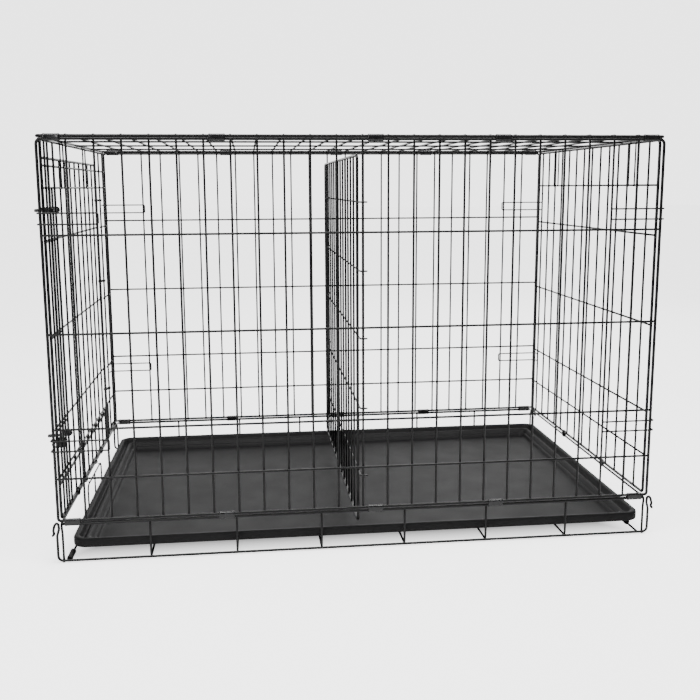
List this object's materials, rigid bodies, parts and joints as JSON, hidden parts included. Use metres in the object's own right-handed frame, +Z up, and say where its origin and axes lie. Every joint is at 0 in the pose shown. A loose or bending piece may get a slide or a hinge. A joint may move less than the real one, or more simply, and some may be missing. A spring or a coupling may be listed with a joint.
{
  "type": "wire dog crate",
  "caption": "Folding wire dog crate with a hinged end door, slide bolts, a hooked-in divider and a pull-out floor tray.",
  "frame": {"origin": "centre of the bounding box at floor level, under the feet", "axes": "+X along the length, away from the door end; +Y from the front long side to the back; +Z up"},
  "size_m": [1.28, 0.7796, 0.8428],
  "materials": {
    "coated_wire": "semi-gloss black powder coat",
    "clip_steel": "gloss black coated sheet steel",
    "tray_plastic": "satin black moulded plastic",
    "foot_rubber": "matt black rubber"
  },
  "bodies": {
    "frame": {"base_grid": "coated_wire", "front_panel": "coated_wire", "back_panel": "coated_wire", "top_panel": "coated_wire", "foot_front_left": "foot_rubber", "foot_front_right": "foot_rubber", "foot_back_left": "foot_rubber", "foot_back_right": "foot_rubber", "clip_top_front_1": "clip_steel", "clip_top_front_2": "clip_steel", "clip_top_front_3": "clip_steel", "clip_top_front_4": "clip_steel", "clip_top_front_5": "clip_steel", "clip_top_back_1": "clip_steel", "clip_top_back_2": "clip_steel", "clip_top_back_3": "clip_steel", "clip_top_back_4": "clip_steel", "clip_top_back_5": "clip_steel", "clip_bottom_front_1": "clip_steel", "clip_bottom_front_2": "clip_steel", "clip_bottom_front_3": "clip_steel", "clip_bottom_front_4": "clip_steel", "clip_bottom_front_5": "clip_steel", "clip_bottom_back_1": "clip_steel", "clip_bottom_back_2": "clip_steel", "clip_bottom_back_3": "clip_steel", "clip_bottom_back_4": "clip_steel", "clip_bottom_back_5": "clip_steel", "hairpin_front_left_upper": "coated_wire", "hairpin_front_left_lower": "coated_wire", "hairpin_front_right_upper": "coated_wire", "hairpin_front_right_lower": "coated_wire", "hairpin_back_left_upper": "coated_wire", "hairpin_back_left_lower": "coated_wire", "hairpin_back_right_upper": "coated_wire", "hairpin_back_right_lower": "coated_wire"},
    "left_end": {"left_end_panel": "coated_wire", "left_end_loop_front": "coated_wire", "left_end_loop_back": "coated_wire", "door_loop_low": "coated_wire", "door_loop_middle": "coated_wire", "door_loop_high": "coated_wire"},
    "right_end": {"right_end_panel": "coated_wire", "right_end_loop_front": "coated_wire", "right_end_loop_back": "coated_wire"},
    "door": {"door": "coated_wire"},
    "upper_bolt": {"upper_bolt_rod": "coated_wire"},
    "upper_handle": {"upper_bolt_handle": "clip_steel"},
    "lower_bolt": {"lower_bolt_rod": "coated_wire"},
    "lower_handle": {"lower_bolt_handle": "clip_steel"},
    "divider": {"divider": "coated_wire"},
    "tray": {"tray": "tray_plastic"},
    "tray_stop": {"tray_stop": "coated_wire"}
  },
  "joints": [
    {"name": "left_end_fold", "type": "hinge", "parent": "frame", "child": "left_end", "pos_m": [-0.595, 0, 0.081], "axis": [0, -1, 0], "range_deg": [-46, 0]},
    {"name": "right_end_fold", "type": "hinge", "parent": "frame", "child": "right_end", "pos_m": [0.619, 0, 0.081], "axis": [0, 1, 0], "range_deg": [-52, 0]},
    {"name": "door_swing", "type": "hinge", "parent": "left_end", "child": "door", "pos_m": [-0.601, 0.253, 0.473], "axis": [0, 0, -1], "range_deg": [0, 170]},
    {"name": "upper_bolt_slide", "type": "slide", "parent": "door", "child": "upper_bolt", "axis": [0, 1, 0], "range_m": [-0.02, 0]},
    {"name": "upper_handle_turn", "type": "hinge", "parent": "upper_bolt", "child": "upper_handle", "pos_m": [-0.6105, -0.252, 0.698], "axis": [0, 1, 0], "range_deg": [-80, 0]},
    {"name": "lower_bolt_slide", "type": "slide", "parent": "door", "child": "lower_bolt", "axis": [0, 1, 0], "range_m": [-0.02, 0]},
    {"name": "lower_handle_turn", "type": "hinge", "parent": "lower_bolt", "child": "lower_handle", "pos_m": [-0.6105, -0.252, 0.228], "axis": [0, 1, 0], "range_deg": [-80, 0]},
    {"name": "divider_unhook", "type": "slide", "parent": "frame", "child": "divider", "axis": [1, 0, 0], "range_m": [-0.03, 0]},
    {"name": "tray_slide", "type": "slide", "parent": "frame", "child": "tray", "axis": [1, 0, 0], "range_m": [0, 1.15]},
    {"name": "tray_stop_swing", "type": "hinge", "parent": "frame", "child": "tray_stop", "pos_m": [-0.595, 0, 0.081], "axis": [0, 1, 0], "range_deg": [0, 90]}
  ]
}
